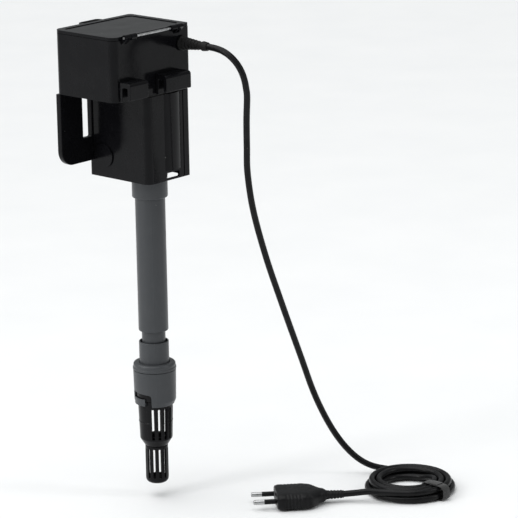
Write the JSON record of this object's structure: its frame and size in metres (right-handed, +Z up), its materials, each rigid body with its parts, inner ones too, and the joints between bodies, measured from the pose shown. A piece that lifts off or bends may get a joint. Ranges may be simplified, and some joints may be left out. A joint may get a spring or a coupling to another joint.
{
  "type": "internal aquarium filter pump",
  "caption": "Black hang-on internal aquarium filter pump with a slotted guard, telescopic suction tube, slotted strainer and coiled mains lead.",
  "frame": {"origin": "middle of the right hook's seat, where it rests on the pane's top edge", "axes": "+Z up along the suction tube, +X along the pane to the right as seen from behind the tank, +Y into the tank"},
  "size_m": [0.2367, 0.2385, 0.3904],
  "materials": {
    "housing": "semi-gloss moulded",
    "tube": "satin moulded",
    "strainer": "satin moulded",
    "dark_plastic": "matt moulded",
    "potting": "matt epoxy",
    "rubber": "matt",
    "cord": "satin",
    "plug": "satin moulded",
    "tie": "woven",
    "ceramic": "smooth white",
    "magnet": "sintered ferrite",
    "lamination": "stacked laminations",
    "copper": "enamelled wire",
    "steel": "bright",
    "sponge": "open-cell foam",
    "carbon": "fleece over granules"
  },
  "bodies": {
    "case": {"filter_case": "housing", "lid_hinge_pin": "steel", "hanger_hook_right": "housing", "hanger_hook_left": "housing", "hanger_screw_1": "steel", "hanger_screw_2": "steel", "hanger_screw_3": "steel", "hanger_screw_4": "steel", "media_grate": "dark_plastic", "carbon_cartridge": "carbon", "filter_sponge": "sponge", "pump_chamber": "housing", "chamber_seal": "rubber", "case_screw_1": "steel", "case_screw_2": "steel", "splash_guard": "housing", "motor_body": "potting", "motor_cap": "potting", "stator_core": "lamination", "motor_coil": "copper", "volute_cover": "housing", "ceramic_shaft": "ceramic", "shaft_bush_bottom": "rubber", "shaft_bush_top": "rubber", "riser_tube": "dark_plastic", "socket_collar": "tube", "main_tube": "tube", "motor_lead": "cord", "cord_gland": "rubber", "power_cord": "cord", "cord_coil": "cord", "coil_tie": "tie", "cord_tail": "cord", "plug_body": "plug", "plug_pin_1": "steel", "plug_pin_2": "steel"},
    "lid_leaf": {"lid": "housing"},
    "rotor": {"impeller": "ceramic", "rotor_magnet": "magnet"},
    "flow_valve": {"flow_knob": "dark_plastic"},
    "drop_tube": {"inner_tube": "tube", "strainer_sleeve": "tube", "collar_cap": "tube"},
    "lock_ring": {"collar_ring": "tube"},
    "strainer": {"strainer_cage": "strainer", "strainer_tip": "strainer"}
  },
  "joints": [
    {"name": "lid_hinge", "type": "hinge", "parent": "case", "child": "lid_leaf", "pos_m": [0, 0.003, 0.038], "axis": [1, 0, 0], "range_deg": [0, 100]},
    {"name": "rotor_spin", "type": "hinge", "parent": "case", "child": "rotor", "pos_m": [0, 0.0285, -0.05], "axis": [0, 0, 1], "continuous": true},
    {"name": "flow_turn", "type": "hinge", "parent": "case", "child": "flow_valve", "pos_m": [-0.013, 0.015, 0.0184], "axis": [0, 0, 1], "range_deg": [0, 90]},
    {"name": "tube_slide", "type": "slide", "parent": "case", "child": "drop_tube", "axis": [0, 0, 1], "range_m": [-0.0112, 0.0087]},
    {"name": "ring_turn", "type": "hinge", "parent": "drop_tube", "child": "lock_ring", "pos_m": [0, 0.0285, -0.242], "axis": [0, 0, -1], "range_deg": [0, 18]},
    {"name": "strainer_pull", "type": "slide", "parent": "drop_tube", "child": "strainer", "axis": [0, 0, -1], "range_m": [0, 0.01]}
  ]
}
